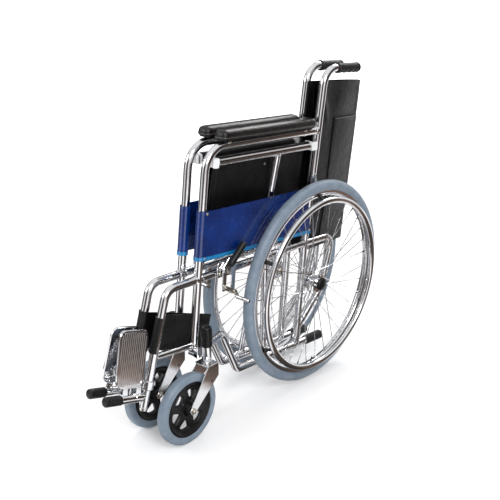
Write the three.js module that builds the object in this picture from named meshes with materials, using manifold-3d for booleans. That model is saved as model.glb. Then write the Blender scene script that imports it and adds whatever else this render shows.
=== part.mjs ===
// Folding manual wheelchair: folded flat, brakes on, footplates flipped up.
// Millimetres, +Z up, front towards -Y, the occupant's left towards +X.
// The left half is drawn, and the right half is its mirror image.
import * as THREE from "three";
import { mergeVertices } from "three/addons/utils/BufferGeometryUtils.js";
import Module from "manifold-3d";

const wasm = await Module();
wasm.setup();
const { Manifold, CrossSection, Mesh: SolidMesh } = wasm;

// The side frame, [y, z] in its own plane, before the frame leans back on its wheels.
const HALF_SPACING = 29.9; // middle of the folded chair to a side frame
const LEAN_BACK = 4.45; // degrees
const TUBE_R = 11;
const GAP = 0.4; // between neighbours that touch
const SLEEVE_GAP = 0.9; // a sleeve's bore round the tube it turns on
const CANE_FOOT = [-22.7, 90];
const CANE_KNEE = [-22.7, 400];
const CANE_CORNER = [9.8, 918];
const GRIP_START_Y = 64;
const GRIP_END_Y = 166;
const GRIP_R = 15.5;
const ARM_Z = 744;
const UPRIGHT_CORNER = [-460, 743];
const UPRIGHT_FOOT = [-473.5, 204];
const RAIL_REAR = [-22.7, 411.5];
const RAIL_FRONT = [-468.6, 398.8];
const HANGER_CORNER = [-581, 395.6];
const HANGER_FOOT = [-636.5, 141];
const LOWER_Z = 90;
const LOWER_REAR_Y = 37;
const TIP_END_Y = 98;
const SEAT_RAIL_Z = 702;
const SEAT_RAIL_FRONT_Y = -420;
const SEAT_RAIL_REAR_Y = -38.5;
const LEG_R = 10;
const LEG_A_Y = [-176, -206]; // top and foot of the leg under the left seat rail
const LEG_B_Y = [-149, -179];

// Upholstery half widths that leave the folding path clear.
const SEAT_HALF = 158;
const BACK_HALF = 170;
const STRAP_HALF = 158;

// Footrest, measured from the hanger foot.
const PIVOT_DROP = 19;
const PLATE_REACH = 176;
const PLATE_INWARD_LEAN = 5.5; // degrees, flipped up

// Wheels, in the upright frame of the ground.
const Y_SHIFT = 228.4; // rear axle line to the middle of the overall length
const REAR_R = 305;
const REAR_X = 75.6;
const AXLE_Y = 3;
const TYRE_R = 16;
const RIM_OUTER = 274;
const RIM_INNER = 260;
const HANDRIM_R = 253;
const HANDRIM_TUBE = 9.5;
const HANDRIM_X = 107.2;
const SPOKES = 36;
const CASTER_R = 100;
const CASTER_X = 63.1;
const CASTER_Y = -514.8;
const STEM_Y = -440;

const chrome = material(0xc9ccd0, 1, 0.18);
const aluminium = material(0xb4b1ae, 0.8, 0.45);
const blackVinyl = material(0x0b0b0d, 0, 0.45);
const blackPlastic = material(0x141416, 0, 0.55);
const blueVinyl = material(0x0b2e8f, 0, 0.25);
const greyRubber = material(0x7f8ea0, 0, 0.6);
const whiteNylon = material(0xf0f0f2, 0, 0.4);

function material(color, metalness, roughness) {
  return new THREE.MeshStandardMaterial({ color, metalness, roughness });
}

// ---------------------------------------------------------------- tools

// A three.js geometry as a solid, its faces turned outwards.
function solid(geometry) {
  const bare = geometry.clone();
  bare.deleteAttribute("normal");
  bare.deleteAttribute("uv");
  const merged = mergeVertices(bare, 1e-3);
  const faces = new Uint32Array(merged.index.array);
  const build = () =>
    new Manifold(
      new SolidMesh({
        numProp: 3,
        vertProperties: new Float32Array(merged.attributes.position.array),
        triVerts: faces,
      }),
    );
  const first = build();
  if (first.volume() > 0) return first;
  for (let i = 0; i < faces.length; i += 3) {
    [faces[i], faces[i + 1]] = [faces[i + 1], faces[i]];
  }
  return build();
}

// Straight runs whose corners are rounded to a bend radius.
class BentPath extends THREE.Curve {
  constructor(corners, bend, steps) {
    super();
    const points = corners.map((p) => new THREE.Vector3(...p));
    this.stops = [points[0]];
    for (let i = 1; i < points.length - 1; i++) {
      this.round(points[i - 1], points[i], points[i + 1], bend, steps);
    }
    this.stops.push(points[points.length - 1]);
  }

  round(before, corner, after, bend, steps) {
    const back = before.clone().sub(corner).normalize();
    const ahead = after.clone().sub(corner).normalize();
    const half = back.angleTo(ahead) / 2;
    const turn = Math.PI - 2 * half;
    const middle = back.clone().add(ahead).normalize();
    const centre = corner.clone().addScaledVector(middle, bend / Math.sin(half));
    const spoke = corner.clone().addScaledVector(back, bend / Math.tan(half));
    spoke.sub(centre);
    const axis = new THREE.Vector3().crossVectors(ahead, back).normalize();
    const count = Math.max(1, Math.round((steps * turn) / (Math.PI / 2)));
    for (let k = 0; k <= count; k++) {
      const turned = spoke.clone().applyAxisAngle(axis, (turn * k) / count);
      this.stops.push(centre.clone().add(turned));
    }
  }

  getPoint(t) {
    const place = THREE.MathUtils.clamp(t, 0, 1) * (this.stops.length - 1);
    const i = Math.min(Math.floor(place), this.stops.length - 2);
    return this.stops[i].clone().lerp(this.stops[i + 1], place - i);
  }

  getUtoTmapping(u) {
    return u;
  }
}

// A round bar along straight runs and bends.
function bar(corners, radius, bend = 30, steps = 4, sides = 10) {
  const path = new BentPath(corners, bend, steps);
  const outline = new THREE.Shape();
  for (let i = 0; i < sides; i++) {
    const a = (2 * Math.PI * (i + 0.5)) / sides;
    const [u, v] = [radius * Math.cos(a), radius * Math.sin(a)];
    if (i === 0) outline.moveTo(u, v);
    else outline.lineTo(u, v);
  }
  return solid(
    new THREE.ExtrudeGeometry(outline, {
      steps: path.stops.length - 1,
      extrudePath: path,
      bevelEnabled: false,
    }),
  );
}

// A bar in the left side frame, its corners given as [y, z].
function frameBar(pairs, radius, bend, steps) {
  const corners = pairs.map(([y, z]) => [HALF_SPACING, y, z]);
  return bar(corners, radius, bend, steps);
}

// A turned body round +X; profile pairs are [radius, x].
function turnedX(profile, sides) {
  const points = profile.map(([r, h]) => new THREE.Vector2(r, h));
  return solid(new THREE.LatheGeometry(points, sides)).rotate([0, 0, -90]);
}

// A turned body round +Z; profile pairs are [radius, z].
function turnedZ(profile, sides) {
  const points = profile.map(([r, h]) => new THREE.Vector2(r, h));
  return solid(new THREE.LatheGeometry(points, sides)).rotate([90, 0, 0]);
}

function block(x0, x1, y0, y1, z0, z1) {
  return Manifold.cube([x1 - x0, y1 - y0, z1 - z0]).translate([x0, y0, z0]);
}

// A flat plate from a side view outline of [y, z] pairs, between two x values.
function sidePlate(outline, x0, x1, corner = 0) {
  let flat = new CrossSection([outline], "NonZero");
  if (corner > 0) {
    flat = flat.offset(-corner, "Miter").offset(corner, "Round", 2, 12);
  }
  const raised = Manifold.extrude(flat, x1 - x0);
  return raised.transform([0, 1, 0, 0, 0, 0, 1, 0, 1, 0, 0, 0, x0, 0, 0, 1]);
}

const join = (...parts) => Manifold.union(parts);
const inFrame = (body) =>
  body.rotate([-LEAN_BACK, 0, 0]).translate([0, Y_SHIFT, 0]);
const onGround = (body) => body.translate([0, Y_SHIFT, 0]);
const mirrored = (body) => body.mirror([1, 0, 0]);

const group = new THREE.Group();
group.name = "folding_wheelchair";

function add(name, body, look) {
  const data = body.getMesh();
  const geometry = new THREE.BufferGeometry();
  const places = new Float32Array(data.vertProperties);
  geometry.setAttribute("position", new THREE.BufferAttribute(places, 3));
  geometry.setIndex(new THREE.BufferAttribute(new Uint32Array(data.triVerts), 1));
  const mesh = new THREE.Mesh(geometry.toNonIndexed(), look);
  mesh.geometry.computeVertexNormals();
  mesh.name = name;
  group.add(mesh);
}

function addPair(name, body, look) {
  add("left_" + name, body, look);
  add("right_" + name, mirrored(body), look);
}

// ---------------------------------------------------------------- side frame

// The y of the cane's middle line at a height in the side frame.
function caneY(z) {
  const rise = (z - CANE_KNEE[1]) / (CANE_CORNER[1] - CANE_KNEE[1]);
  return CANE_KNEE[0] + Math.max(0, rise) * (CANE_CORNER[0] - CANE_KNEE[0]);
}

function canePath(extra) {
  const top = [GRIP_END_Y - 5, CANE_CORNER[1] - 3];
  return frameBar([CANE_FOOT, CANE_KNEE, CANE_CORNER, top], TUBE_R + extra, 52);
}

function uprightPath(extra) {
  const start = [caneY(ARM_Z), ARM_Z];
  return frameBar([start, UPRIGHT_CORNER, UPRIGHT_FOOT], TUBE_R + extra, 66, 5);
}

function hangerPath(extra) {
  return frameBar([RAIL_FRONT, HANGER_CORNER, HANGER_FOOT], TUBE_R + extra, 36, 4);
}

function lowerPath(extra) {
  const corners = [
    [58, -446, 221],
    [HALF_SPACING, -366, 219],
    [HALF_SPACING, -292, LOWER_Z],
    [HALF_SPACING, LOWER_REAR_Y, LOWER_Z],
  ];
  return bar(corners, TUBE_R + extra, 26, 4);
}

const caneClear = canePath(GAP);
const uprightClear = uprightPath(GAP);
const lowerClear = lowerPath(GAP);

function axleStub() {
  const profile = [
    [0, HALF_SPACING],
    [6, HALF_SPACING],
    [6, 43],
    [12, 43],
    [12, 52],
    [6, 52],
    [6, 101],
    [0, 101],
  ];
  return turnedX(profile, 12).translate([0, AXLE_Y, REAR_R]);
}

const cane = inFrame(largest(canePath(0).subtract(lowerClear)));
addPair("cane", join(cane, onGround(axleStub())), chrome);

addPair("front_frame", inFrame(uprightPath(0).subtract(caneClear)), chrome);

const sideRail = frameBar([RAIL_REAR, RAIL_FRONT], TUBE_R)
  .subtract(caneClear)
  .subtract(uprightClear);
addPair("side_rail", inFrame(sideRail), chrome);

function hanger() {
  const collarTop = alongHanger(-24);
  const collarEnd = alongHanger(-1);
  const collar = frameBar([collarTop, collarEnd], 14.5);
  const tie = frameBar([[-616, 222.5], [-474, 217]], 9);
  return join(hangerPath(0), collar, tie).subtract(uprightClear);
}

function alongHanger(distance) {
  const [dy, dz] = hangerDirection();
  return [HANGER_FOOT[0] + dy * distance, HANGER_FOOT[1] + dz * distance];
}

function hangerDirection() {
  const dy = HANGER_FOOT[0] - HANGER_CORNER[0];
  const dz = HANGER_FOOT[1] - HANGER_CORNER[1];
  const length = Math.hypot(dy, dz);
  return [dy / length, dz / length];
}

addPair("hanger", inFrame(hanger()), chrome);

function casterHousing() {
  const profile = [[6.5, 212], [13, 212], [13, 255.6], [6.5, 255.6], [6.5, 212]];
  const tube = turnedZ(profile, 16).translate([CASTER_X, STEM_Y, 0]);
  const lug = block(20, 53, -470, -440, 224, 238);
  const cheek = block(41.6, 53, -470, -436, 224, 254);
  const bore = turnedZ([[0, 200], [6.5, 200], [6.5, 260], [0, 260]], 16);
  return join(tube, lug, cheek).subtract(bore.translate([CASTER_X, STEM_Y, 0]));
}

function casterCap(extra) {
  const r = 15.5 + extra;
  const profile = [[0, 256 - extra], [r, 256 - extra], [r, 306], [12, 313], [0, 313]];
  return turnedZ(profile, 16).translate([CASTER_X, STEM_Y, 0]);
}

const lowerRail = inFrame(lowerPath(0));
const lowerSocket = turnedZ([[0, 205], [12.6, 205], [12.6, 255], [0, 255]], 16);
const lowerCut = lowerRail
  .subtract(onGround(lowerSocket.translate([CASTER_X, STEM_Y, 0])))
  .subtract(onGround(casterCap(GAP)))
  .subtract(inFrame(uprightClear));
addPair("lower_rail", largest(join(lowerCut, onGround(casterHousing()))), chrome);
addPair("caster_cap", onGround(casterCap(0)), blackPlastic);

function largest(body) {
  const pieces = body.decompose();
  pieces.sort((a, b) => b.volume() - a.volume());
  return pieces[0];
}

function rearLoop() {
  const path = [
    [-22.7, 411.5],
    [118, 412],
    [78, 246],
    [-22.7, 146],
  ];
  return frameBar(path, TUBE_R, 34).subtract(caneClear);
}
addPair("rear_loop", inFrame(rearLoop()), chrome);

function grip() {
  const path = [[GRIP_START_Y, 916.4], [GRIP_END_Y, 914.6]];
  return frameBar(path, GRIP_R).subtract(caneClear);
}
addPair("push_grip", inFrame(grip()), blackPlastic);

function armPad() {
  const half = 21.5;
  const plan = new CrossSection([
    [
      [-half, -417],
      [half, -417],
      [half, -29],
      [-half, -29],
    ],
  ]);
  const rounded = plan.offset(-17, "Miter").offset(17, "Round", 2, 20);
  const pad = Manifold.extrude(rounded, 24).translate([HALF_SPACING, 0, 760]);
  const front = block(22, 38, -398, -370, 742, 762);
  const rear = block(22, 38, -84, -56, 742, 762);
  return join(pad, front, rear).subtract(uprightClear);
}
addPair("arm_pad", inFrame(armPad()), blackVinyl);

const guardOutline = [
  [-486, 452],
  [-18, 446],
  [-50, 584],
  [-477, 583],
];
addPair("skirt_guard", inFrame(sidePlate(guardOutline, 44.2, 47.2)), blueVinyl);

function tipCap() {
  const sleeve = frameBar([[LOWER_REAR_Y - 14, LOWER_Z], [TIP_END_Y, LOWER_Z]], 14);
  return sleeve.subtract(lowerClear);
}
addPair("tip_cap", inFrame(tipCap()), blackPlastic);

// ---------------------------------------------------------------- footrest

// Footrest pieces are drawn about the pivot line, which runs forward square to the hanger.
function atPivot(body) {
  const [dy, dz] = hangerDirection();
  const lean = THREE.MathUtils.radToDeg(Math.atan2(-dy, -dz));
  const [y, z] = alongHanger(PIVOT_DROP);
  return body.rotate([-lean, 0, 0]).translate([HALF_SPACING, y, z]);
}

function footrestTube() {
  const stem = bar([[0, 0, PIVOT_DROP - GAP], [0, 0, -37]], 9.5);
  const rod = bar([[0, 0, 0], [0, -92, 0]], 7);
  const cap = bar([[0, -90, 0], [0, -138, 0]], 13);
  return atPivot(join(stem, rod, cap));
}
addPair("footrest_tube", inFrame(footrestTube()), chrome);

function footplate() {
  const barrel = bar([[0, -16, 0], [0, -89, 0]], 12);
  const bore = bar([[0, 0, 0], [0, -100, 0]], 7 + GAP);
  const outline = [
    [-17, 27],
    [-17, PLATE_REACH],
    [-118, PLATE_REACH],
    [-107, 27],
  ];
  const plate = sidePlate(outline, -4, 4, 12);
  const rearEar = block(-4, 4, -40, -20, 6, 34);
  const frontEar = block(-4, 4, -86, -66, 6, 34);
  const body = join(barrel, plate, rearEar, frontEar).subtract(bore);
  return atPivot(body.rotate([0, -PLATE_INWARD_LEAN, 0]));
}
addPair("footplate", inFrame(footplate()), aluminium);

// ---------------------------------------------------------------- cross brace and seat

// One seat rail with its leg, whose sleeve turns on the other side's lower rail.
function brace(topY, footY, bolt) {
  const rail = frameBar(
    [[SEAT_RAIL_FRONT_Y, SEAT_RAIL_Z], [SEAT_RAIL_REAR_Y, SEAT_RAIL_Z]],
    TUBE_R,
  );
  const leg = bar(
    [[HALF_SPACING, topY, SEAT_RAIL_Z], [-HALF_SPACING, footY, LOWER_Z + 9]],
    LEG_R,
  );
  const sleeve = bar(
    [[-HALF_SPACING, footY - 26, LOWER_Z], [-HALF_SPACING, footY + 26, LOWER_Z]],
    15,
  );
  const body = join(rail, leg, sleeve).subtract(mirrored(lowerPath(SLEEVE_GAP)));
  const middle = (topY + footY) / 2;
  const z = (SEAT_RAIL_Z + LOWER_Z) / 2;
  if (bolt) return join(body, crossBolt(z, middle));
  const hole = bar([[0, middle - 30, z], [0, middle + 30, z]], 5 + GAP);
  return body.subtract(hole);
}

function crossBolt(z, y) {
  const shank = bar([[0, y, z], [0, y + 42, z]], 5);
  const head = bar([[0, y - 15, z], [0, y - 9, z]], 8);
  const nut = bar([[0, y + 38, z], [0, y + 44, z]], 8);
  return join(shank, head, nut);
}

add("left_brace", inFrame(brace(...LEG_A_Y, true)), chrome);
add("right_brace", inFrame(mirrored(brace(...LEG_B_Y, false))), chrome);

const frontGuide = block(17.5, 42.9, -444, -420.4, 688, 716).subtract(
  uprightPath(7),
);
function rearGuide() {
  const web = block(14.2, 43.8, -38.1, -28.6, 690, 716);
  const outer = block(42.7, 43.8, -38.1, 10, 690, 716);
  const inner = block(14.2, 17, -38.1, -12, 690, 716);
  return join(web, outer, inner);
}
addPair("seat_guide_front", inFrame(frontGuide), whiteNylon);
addPair("seat_guide_rear", inFrame(rearGuide()), whiteNylon);

// A soft half panel that starts beside a rail and runs away from it along -Z.
function seatPanel() {
  const hang = block(-0.8, 0.8, SEAT_RAIL_FRONT_Y + 8, SEAT_RAIL_REAR_Y - 6, -SEAT_HALF, 0);
  const fold = THREE.MathUtils.radToDeg(Math.atan2(15, SEAT_HALF));
  return hang.rotate([0, fold, 0]).translate([HALF_SPACING - 13.5, 0, SEAT_RAIL_Z]);
}
addPair("seat_panel", inFrame(seatPanel()), blackVinyl);

function backPanel() {
  const sheet = block(-0.9, 0.9, TUBE_R + 5.5, BACK_HALF, 26, 464);
  const lean = Math.atan2(CANE_CORNER[0] - CANE_KNEE[0], CANE_CORNER[1] - CANE_KNEE[1]);
  const fold = THREE.MathUtils.radToDeg(Math.atan2(26, 200));
  return sheet
    .rotate([0, 0, fold])
    .rotate([-THREE.MathUtils.radToDeg(lean), 0, 0])
    .translate([HALF_SPACING, ...CANE_KNEE]);
}
addPair("back_panel", inFrame(backPanel()), blackVinyl);

function calfStrap() {
  const sheet = block(-0.9, 0.9, 3, STRAP_HALF, 98, 186);
  const fold = THREE.MathUtils.radToDeg(Math.atan2(14.5, STRAP_HALF));
  const [dy, dz] = hangerDirection();
  const lean = THREE.MathUtils.radToDeg(Math.atan2(-dy, -dz));
  return sheet
    .translate([-13.5, 0, 0])
    .rotate([0, 0, fold - 0.4])
    .rotate([-lean, 0, 0])
    .translate([HALF_SPACING, ...HANGER_FOOT]);
}
addPair("calf_strap", inFrame(calfStrap()), blackVinyl);

// ---------------------------------------------------------------- brake

const BRAKE_PIVOT = [-388, 412];
const SHOE_PIVOT = [-347, 343];
const SHOE = [-331.1, 323.3];

function brakeBracket() {
  const outline = [
    [-410, 392],
    [-354, 392],
    [-354, 336],
    [-338, 336],
    [-338, 418],
    [-366, 434],
    [-410, 434],
  ];
  return sidePlate(outline, 41.5, 45.4);
}
addPair("brake_bracket", inFrame(brakeBracket()), chrome);

function brakeLever() {
  const outline = [
    [-392, 352],
    [-379, 352],
    [-379, 404],
    [-360, 436],
    [-372, 446],
    [-396, 418],
  ];
  const plate = sidePlate(outline, 47.8, 51);
  const pin = bar([[45.8, ...BRAKE_PIVOT], [54, ...BRAKE_PIVOT]], 5);
  const neck = bar([[49, -370, 436], [60, -368, 438]], 5);
  const handle = bar([[60, -380, 426], [60, -327, 479]], 9.5);
  return join(plate, pin, neck, handle);
}
addPair("brake_lever", inFrame(brakeLever()), blackPlastic);

function brakeShoe() {
  const outline = [
    [-391, 358],
    [-347, 336],
    [-336, 317],
    [-325, 322],
    [-338, 347],
    [-388, 371],
  ];
  const plate = sidePlate(outline, 51.6, 54.8);
  const pin = bar([[45.8, ...SHOE_PIVOT], [56.5, ...SHOE_PIVOT]], 4);
  const shoe = bar([[52, ...SHOE], [93, ...SHOE]], 5);
  return join(plate, pin, shoe);
}
addPair("brake_shoe", inFrame(brakeShoe()), chrome);

// ---------------------------------------------------------------- rear wheel

const onAxle = (body) => onGround(body.translate([0, AXLE_Y, REAR_R]));

function rearTyre() {
  const middle = REAR_R - TYRE_R;
  const profile = [];
  const last = 8;
  for (let i = 0; i <= last; i++) {
    const a = THREE.MathUtils.degToRad(-144 + 36 * i);
    profile.push([middle + TYRE_R * Math.cos(a), REAR_X + TYRE_R * Math.sin(a)]);
  }
  const bead = profile[0][0];
  profile[0][0] = Math.max(bead, RIM_OUTER + GAP);
  profile[last][0] = profile[0][0];
  profile.push([...profile[0]]);
  return turnedX(profile, 36);
}
addPair("rear_tyre", onAxle(rearTyre()), greyRubber);

function rearRim() {
  const half = 10.5;
  const ring = [
    [RIM_INNER, REAR_X - 5],
    [RIM_OUTER, REAR_X - half],
    [RIM_OUTER, REAR_X + half],
    [RIM_INNER, REAR_X + 5],
    [RIM_INNER, REAR_X - 5],
  ];
  return turnedX(ring, 36);
}
addPair("rear_rim", onAxle(rearRim()), chrome);

// The hub with its spokes, whose ends stop just short of the rim's inner face.
function rearHub() {
  const hub = [
    [6 + GAP, 54],
    [16, 54],
    [16, 58],
    [27, 58],
    [27, 61],
    [14, 64],
    [14, 88],
    [27, 91],
    [27, 94],
    [17, 94],
    [17, 100],
    [6 + GAP, 100],
    [6 + GAP, 54],
  ];
  const parts = [turnedX(hub, 12)];
  for (let i = 0; i < SPOKES; i++) parts.push(spoke(i));
  return Manifold.union(parts);
}
addPair("rear_hub", onAxle(rearHub()), chrome);

// Spokes leave the two hub flanges in turn and cross on their way to the rim.
function spoke(i) {
  const rimAngle = (2 * Math.PI * (i + 0.5)) / SPOKES;
  const forward = i % 4 < 2;
  const hubAngle = rimAngle + THREE.MathUtils.degToRad(forward ? 58 : -58);
  const flangeX = (i % 2 === 0 ? 59.5 : 92.5) + (forward ? 2.5 : -2.5);
  const from = [flangeX, 23 * Math.cos(hubAngle), 23 * Math.sin(hubAngle)];
  const reach = RIM_INNER * Math.cos(Math.PI / 36) - 3 * GAP;
  const to = [REAR_X, reach * Math.cos(rimAngle), reach * Math.sin(rimAngle)];
  return bar([from, to], 1.4, 1, 1, 3);
}

function hubCap() {
  const profile = [[0, 101.4], [19, 101.4], [20, 104], [18, 111], [12, 113.5], [0, 113.5]];
  return turnedX(profile, 20);
}
addPair("hub_cap", onAxle(hubCap()), blackPlastic);

function handrim() {
  const profile = [];
  const sides = 8;
  for (let i = 0; i <= sides; i++) {
    const a = (2 * Math.PI * i) / sides;
    const r = HANDRIM_R + HANDRIM_TUBE * Math.cos(a);
    profile.push([r, HANDRIM_X + HANDRIM_TUBE * Math.sin(a)]);
  }
  profile[sides] = [...profile[0]];
  const parts = [turnedX(profile, 36)];
  for (let i = 0; i < 6; i++) {
    const a = THREE.MathUtils.degToRad(30.5 + 60 * i);
    const [c, s] = [Math.cos(a), Math.sin(a)];
    const from = [86.6, 268 * c, 268 * s];
    const to = [HANDRIM_X - 3, 255 * c, 255 * s];
    parts.push(bar([from, to], 5, 1, 1, 6));
  }
  return Manifold.union(parts);
}
addPair("handrim", onAxle(handrim()), chrome);

// ---------------------------------------------------------------- caster

function casterFork() {
  const crown = block(-24, 24, -22, 22, 203.5, 208.5);
  const stem = turnedZ([[0, 206], [6, 206], [6, 253], [0, 253]], 12);
  const axleY = CASTER_Y - STEM_Y;
  const profile = [];
  for (let i = 0; i < 12; i++) {
    const a = (2 * Math.PI * i) / 12;
    profile.push([axleY + 11 * Math.cos(a), CASTER_R + 11 * Math.sin(a)]);
  }
  const foot = new CrossSection([profile]);
  const head = new CrossSection([[[-22, 168], [22, 168], [22, 208.5], [-22, 208.5]]]);
  const outline = CrossSection.hull([foot, head]).toPolygons()[0];
  const inner = sidePlate(outline, -24, -20);
  const outer = sidePlate(outline, 20, 24);
  const axle = [[0, -30], [8, -30], [8, -24], [5, -24], [5, 24], [8, 24], [8, 30], [0, 30]];
  const pin = turnedX(axle, 12).translate([0, axleY, CASTER_R]);
  return join(crown, stem, inner, outer, pin).translate([CASTER_X, STEM_Y, 0]);
}
addPair("caster_fork", onGround(casterFork()), chrome);

const onCaster = (body) => onGround(body.translate([CASTER_X, CASTER_Y, CASTER_R]));

function casterTyre() {
  const profile = [
    [75.4, -13],
    [86, -14],
    [95, -11],
    [99, -6],
    [CASTER_R, 0],
    [99, 6],
    [95, 11],
    [86, 14],
    [75.4, 13],
    [75.4, -13],
  ];
  return turnedX(profile, 24);
}
addPair("caster_tyre", onCaster(casterTyre()), greyRubber);

function casterHub() {
  const profile = [
    [5.4, -18],
    [16, -18],
    [18, -6],
    [62, -5],
    [66, -12],
    [75, -12],
    [75, 12],
    [66, 12],
    [62, 5],
    [18, 6],
    [16, 18],
    [5.4, 18],
    [5.4, -18],
  ];
  const outline = [
    [30, -3],
    [54, -17],
    [58, 0],
    [54, 17],
    [30, 3],
  ];
  const window = sidePlate(outline, -20, 20, 2.9);
  const cuts = [];
  for (let i = 0; i < 6; i++) cuts.push(window.rotate([60 * i + 12, 0, 0]));
  return turnedX(profile, 24).subtract(Manifold.union(cuts));
}
addPair("caster_hub", onCaster(casterHub()), blackPlastic);

export default group;
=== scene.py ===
"""Looks of the folding wheelchair, folded flat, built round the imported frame.

Shapes are drawn in millimetres for the left side, which is towards +X, and
placed in metres. The right side is the mirror image of the left.
"""

import math

import bmesh
import bpy
import numpy as np
from mathutils import Matrix, Vector

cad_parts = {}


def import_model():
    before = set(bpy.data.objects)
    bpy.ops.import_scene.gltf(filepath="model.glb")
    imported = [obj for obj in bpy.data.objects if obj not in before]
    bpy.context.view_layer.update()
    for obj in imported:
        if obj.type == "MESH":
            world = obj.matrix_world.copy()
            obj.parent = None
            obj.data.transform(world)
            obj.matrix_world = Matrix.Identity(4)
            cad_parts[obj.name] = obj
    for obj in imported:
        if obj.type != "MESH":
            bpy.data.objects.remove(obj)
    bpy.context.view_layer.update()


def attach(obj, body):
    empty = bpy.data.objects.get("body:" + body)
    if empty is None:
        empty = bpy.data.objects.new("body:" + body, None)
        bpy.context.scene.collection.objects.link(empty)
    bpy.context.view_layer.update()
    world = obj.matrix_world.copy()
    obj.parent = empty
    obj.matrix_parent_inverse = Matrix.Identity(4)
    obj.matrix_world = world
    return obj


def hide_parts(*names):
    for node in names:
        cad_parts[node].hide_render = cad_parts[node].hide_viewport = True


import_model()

# The side frame, (y, z) in its own plane at x MID, before the frame leans back.
MID = 29.9
LEAN_BACK = math.radians(4.45)
Y_SHIFT = 228.4
TUBE = 11.0
CANE_Y = -22.7
KNEE = (CANE_Y, 400.0)
CANE_TOP = (9.8, 918.0)
UPRIGHT_TOP = (-460.0, 743.0)
UPRIGHT_FOOT = (-473.5, 204.0)
RAIL_REAR = (CANE_Y, 411.5)
RAIL_FRONT = (-468.6, 398.8)
HANGER_TOP = (-581.0, 395.6)
HANGER_FOOT = (-636.5, 141.0)
ARM_Z = 744.0
SEAT_Z = 702.0
LOWER_Z = 90.0
LOOP = [RAIL_REAR, (118.0, 412.0), (78.0, 246.0), (CANE_Y, 146.0)]

# The cross brace: where each leg meets its seat rail and its lower sleeve, along y.
LEFT_LEG = (-176, -206)
RIGHT_LEG = (-149, -179)
LEG_TUBE = 10.0
LEG_FOOT_Z = 99

# Wheels, upright on the ground.
REAR_R = 305.0
AXLE_Y = 3.0
WHEEL_X = 75.6
HANDRIM_X = 107.2
CASTER_R = 100.0
CASTER_X = 63.1
CASTER_Y = -514.8
STEM_Y = -440.0

METRES = Matrix.Diagonal((0.001, 0.001, 0.001, 1))
GROUND = METRES @ Matrix.Translation((0, Y_SHIFT, 0))
FRAME = GROUND @ Matrix.Rotation(-LEAN_BACK, 4, "X")
AXLE = GROUND @ Matrix.Translation((0, AXLE_Y, REAR_R))
CASTER = GROUND @ Matrix.Translation((CASTER_X, CASTER_Y, CASTER_R))
STEM = GROUND @ Matrix.Translation((CASTER_X, STEM_Y, 0))
MIRROR = Matrix.Diagonal((-1, 1, 1, 1))
SIDES = ("left", "right")

DOWN_HANGER = Vector((HANGER_FOOT[0] - HANGER_TOP[0], HANGER_FOOT[1] - HANGER_TOP[1]))
DOWN_HANGER.normalize()
HANGER_LEAN = math.atan2(-DOWN_HANGER.x, -DOWN_HANGER.y)
HANGER_PLACE = Matrix.Translation((MID, *HANGER_FOOT))
HANGER = FRAME @ HANGER_PLACE @ Matrix.Rotation(-HANGER_LEAN, 4, "X")
PIVOT = HANGER @ Matrix.Translation((0, 0, -19))


# ---- camera


def aim_camera():
    """The photograph's viewing angle, with its slight roll."""
    azimuth, elevation, roll = map(math.radians, (40.98, 21.0, 0.66))
    target, distance = Vector((-0.0801, 0.1233, 0.3937)), 2.6741
    flat = math.cos(elevation)
    back = Vector((math.sin(azimuth) * flat, -math.cos(azimuth) * flat, math.sin(elevation)))
    level = Vector((math.cos(azimuth), math.sin(azimuth), 0))
    rise = back.cross(level)
    right = math.cos(roll) * level + math.sin(roll) * rise
    up = back.cross(right)
    data = bpy.data.cameras.new("camera")
    data.lens = 65.73
    data.sensor_width = 36
    data.clip_end = 200
    camera = bpy.data.objects.new("camera", data)
    rows = zip(zip(right, up, back), target + back * distance)
    camera.matrix_world = Matrix([[*row, place] for row, place in rows] + [[0, 0, 0, 1]])
    bpy.context.scene.collection.objects.link(camera)
    bpy.context.scene.camera = camera


# ---- materials


class Look:
    """A node material under construction."""

    def __init__(self, name, **sockets):
        self.material = bpy.data.materials.new(name)
        self.material.use_nodes = True
        self.tree = self.material.node_tree
        self.shader = self.tree.nodes["Principled BSDF"]
        for socket, value in sockets.items():
            self.shader.inputs[socket.replace("_", " ")].default_value = value
        self.place = self.node("ShaderNodeTexCoord").outputs["Object"]

    def node(self, kind, **inputs):
        made = self.tree.nodes.new(kind)
        for socket, value in inputs.items():
            target = made.inputs[socket.replace("_", " ")]
            if isinstance(value, bpy.types.NodeSocket):
                self.tree.links.new(value, target)
            else:
                target.default_value = value
        return made

    def noise(self, scale, detail):
        made = self.node("ShaderNodeTexNoise", Vector=self.place, Scale=scale, Detail=detail)
        return made.outputs["Fac"]

    def cells(self, scale):
        made = self.node("ShaderNodeTexVoronoi", Vector=self.place, Scale=scale)
        return made.outputs["Distance"]

    def spread(self, value, low, high, start=0.3, end=0.7):
        """From low to high while the value goes from start to end."""
        made = self.node(
            "ShaderNodeMapRange", Value=value, From_Min=start, From_Max=end, To_Min=low, To_Max=high
        )
        return made.outputs["Result"]

    def colour(self, value, dark, light, start=0.3, end=0.7):
        """From dark to light while the value goes from start to end."""
        made = self.node("ShaderNodeValToRGB", Fac=value)
        stops = ((start, dark), (end, light))
        for stop, (place, shade) in zip(made.color_ramp.elements, stops):
            stop.position = place
            stop.color = (*shade, 1)
        self.tree.links.new(made.outputs["Color"], self.shader.inputs["Base Color"])

    def rough(self, value, low, high):
        made = self.spread(value, low, high)
        self.tree.links.new(made, self.shader.inputs["Roughness"])

    def bump(self, *heights):
        """Bumps laid over one another, each (height, depth in metres)."""
        normal = None
        for height, depth in heights:
            made = self.node("ShaderNodeBump", Height=height, Distance=depth)
            if normal:
                self.tree.links.new(normal, made.inputs["Normal"])
            normal = made.outputs["Normal"]
        self.tree.links.new(normal, self.shader.inputs["Normal"])


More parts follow.
